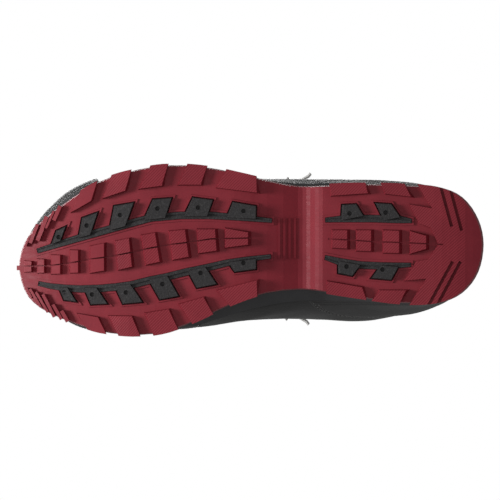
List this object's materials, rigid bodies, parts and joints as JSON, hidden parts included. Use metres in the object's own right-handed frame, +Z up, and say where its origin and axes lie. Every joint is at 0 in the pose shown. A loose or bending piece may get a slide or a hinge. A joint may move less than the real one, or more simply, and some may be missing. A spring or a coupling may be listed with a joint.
{
  "type": "winter boot",
  "caption": "Lace-up leather boot for the left foot with a lugged rubber outsole, inset grip strips, padded collar and tongue, and swinging lace rings.",
  "frame": {"origin": "centre of the bounding box in plan, at the level the tread stands on", "axes": "+X to the toe, +Y to the outer side of the left foot, +Z up"},
  "size_m": [0.3, 0.1111, 0.1865],
  "materials": {
    "red_rubber": "moulded rubber, matt",
    "black_rubber": "speckled grip compound, matt",
    "midsole_foam": "moulded foam",
    "black_leather": "grained, semi-matt",
    "padded_leather": "soft grained, padded",
    "lining_cloth": "brushed lining",
    "fibre_board": "pressed fibre board",
    "webbing": "woven polyester",
    "steel": "spring steel",
    "nickel": "nickel plated, satin"
  },
  "bodies": {
    "boot": {"backstay": "black_leather", "clip_inner_1": "nickel", "clip_inner_2": "nickel", "clip_inner_3": "nickel", "clip_outer_1": "nickel", "clip_outer_2": "nickel", "clip_outer_3": "nickel", "collar": "padded_leather", "eyestay_inner": "black_leather", "eyestay_outer": "black_leather", "footbed": "lining_cloth", "heel_counter": "black_leather", "heel_stiffener": "fibre_board", "hook_inner_1": "nickel", "hook_inner_2": "nickel", "hook_outer_1": "nickel", "hook_outer_2": "nickel", "insole_board": "fibre_board", "lace": "webbing", "lace_knot": "webbing", "midsole": "midsole_foam", "outsole": "red_rubber", "pull_loop": "webbing", "quarter_inner": "black_leather", "quarter_lining": "lining_cloth", "quarter_outer": "black_leather", "rivet_hook_inner_1": "nickel", "rivet_hook_inner_2": "nickel", "rivet_hook_outer_1": "nickel", "rivet_hook_outer_2": "nickel", "rivet_inner_1": "nickel", "rivet_inner_2": "nickel", "rivet_inner_3": "nickel", "rivet_outer_1": "nickel", "rivet_outer_2": "nickel", "rivet_outer_3": "nickel", "shank": "steel", "toe_cap": "black_leather", "toe_puff": "fibre_board", "tongue": "padded_leather", "traction_strip_fore_inner": "black_rubber", "traction_strip_fore_outer": "black_rubber", "traction_strip_heel_inner": "black_rubber", "traction_strip_heel_outer": "black_rubber", "vamp": "black_leather", "vamp_lining": "lining_cloth"},
    "ring_inner_1": {"ring_inner_1": "nickel"},
    "ring_inner_2": {"ring_inner_2": "nickel"},
    "ring_inner_3": {"ring_inner_3": "nickel"},
    "ring_outer_1": {"ring_outer_1": "nickel"},
    "ring_outer_2": {"ring_outer_2": "nickel"},
    "ring_outer_3": {"ring_outer_3": "nickel"}
  },
  "joints": [
    {"name": "ring_inner_1_swing", "type": "hinge", "parent": "boot", "child": "ring_inner_1", "pos_m": [0.04332, -0.02464, 0.09582], "axis": [-0.5033, 0.7001, 0.5064], "range_deg": [-4, 4]},
    {"name": "ring_inner_2_swing", "type": "hinge", "parent": "boot", "child": "ring_inner_2", "pos_m": [0.02067, -0.02737, 0.10461], "axis": [-0.3837, 0.5638, 0.7314], "range_deg": [-4, 4]},
    {"name": "ring_inner_3_swing", "type": "hinge", "parent": "boot", "child": "ring_inner_3", "pos_m": [0.00113, -0.03144, 0.11614], "axis": [-0.2718, 0.4055, 0.8727], "range_deg": [-4, 4]},
    {"name": "ring_outer_1_swing", "type": "hinge", "parent": "boot", "child": "ring_outer_1", "pos_m": [0.04495, 0.02273, 0.09581], "axis": [-0.5686, -0.6553, 0.4972], "range_deg": [-4, 4]},
    {"name": "ring_outer_2_swing", "type": "hinge", "parent": "boot", "child": "ring_outer_2", "pos_m": [0.02099, 0.02772, 0.10466], "axis": [-0.3981, -0.5642, 0.7234], "range_deg": [-4, 4]},
    {"name": "ring_outer_3_swing", "type": "hinge", "parent": "boot", "child": "ring_outer_3", "pos_m": [0.00084, 0.03256, 0.11607], "axis": [-0.2642, -0.3977, 0.8787], "range_deg": [-4, 4]}
  ]
}
